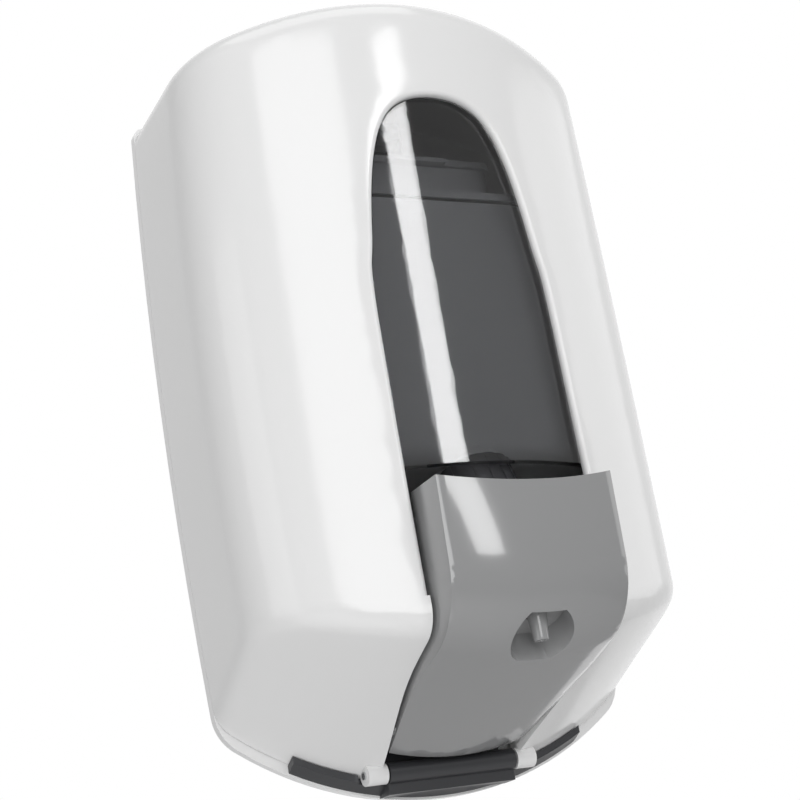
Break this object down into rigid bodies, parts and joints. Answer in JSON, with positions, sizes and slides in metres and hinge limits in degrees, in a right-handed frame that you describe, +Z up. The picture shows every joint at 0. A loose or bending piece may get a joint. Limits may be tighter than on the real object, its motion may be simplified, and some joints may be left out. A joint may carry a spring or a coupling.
{
  "type": "wall mounted soap dispenser",
  "caption": "Wall mounted push-lever liquid soap dispenser with a hinged front cover, tall smoked level window, refillable tank and piston pump.",
  "frame": {"origin": "middle of the wall-hole pattern, on the back plate's wall face", "axes": "+X to the right seen from the room, +Y into the wall, +Z up"},
  "size_m": [0.1486, 0.0869, 0.24],
  "materials": {
    "white": "gloss moulded ABS",
    "smoke": "smoked clear, gloss",
    "grey": "gloss moulded ABS",
    "dark": "satin moulded",
    "steel": "stainless",
    "magnet": "sintered ferrite",
    "tank": "natural polypropylene",
    "pump_white": "moulded acetal",
    "nut": "satin moulded",
    "rubber": "soft moulded"
  },
  "bodies": {
    "base": {"back_plate": "white", "hinge_bar": "dark", "catch_body": "dark", "hinge_pin": "steel", "hinge_screw_left": "steel", "hinge_screw_right": "steel", "catch_screw_left": "steel", "catch_screw_right": "steel", "tank_screw_left_low": "steel", "tank_screw_left_high": "steel", "tank_screw_right_low": "steel", "tank_screw_right_high": "steel", "flap_pin": "steel", "pump_spring": "steel", "inlet_ball": "steel", "catch_magnet": "magnet", "soap_tank": "tank", "tank_lid": "tank", "pump_barrel": "pump_white", "ball_cage": "pump_white", "pump_nut": "nut", "lid_gasket": "rubber", "neck_gasket": "rubber"},
    "cover": {"front_cover": "white", "striker_plate": "steel", "window": "smoke", "lever_pin_left": "steel", "lever_pin_right": "steel"},
    "lever": {"push_lever": "grey"},
    "piston": {"pump_stem": "pump_white", "stem_seal": "rubber", "nozzle_lip": "pump_white", "outlet_ball": "steel"},
    "flap": {"filler_flap": "tank"}
  },
  "joints": [
    {"name": "cover_hinge", "type": "hinge", "parent": "base", "child": "cover", "pos_m": [0, -0.01, -0.1216], "axis": [1, 0, 0], "range_deg": [0, 90]},
    {"name": "lever_hinge", "type": "hinge", "parent": "cover", "child": "lever", "pos_m": [0, -0.021, -0.111], "axis": [-1, 0, 0], "range_deg": [0, 6]},
    {"name": "pump_slide", "type": "slide", "parent": "base", "child": "piston", "axis": [0, 0.3875, 0.9219], "range_m": [0, 0.006], "stiffness_N_per_m": 120, "springref_m": -0.012, "deforming": ["pump_spring"]},
    {"name": "flap_hinge", "type": "hinge", "parent": "base", "child": "flap", "pos_m": [0, -0.021, 0.0612], "axis": [-1, 0, 0], "range_deg": [0, 85]}
  ],
  "couplings": [
    {"joint": "pump_slide", "follows": "lever_hinge", "m_per_rad": 0.0554}
  ]
}
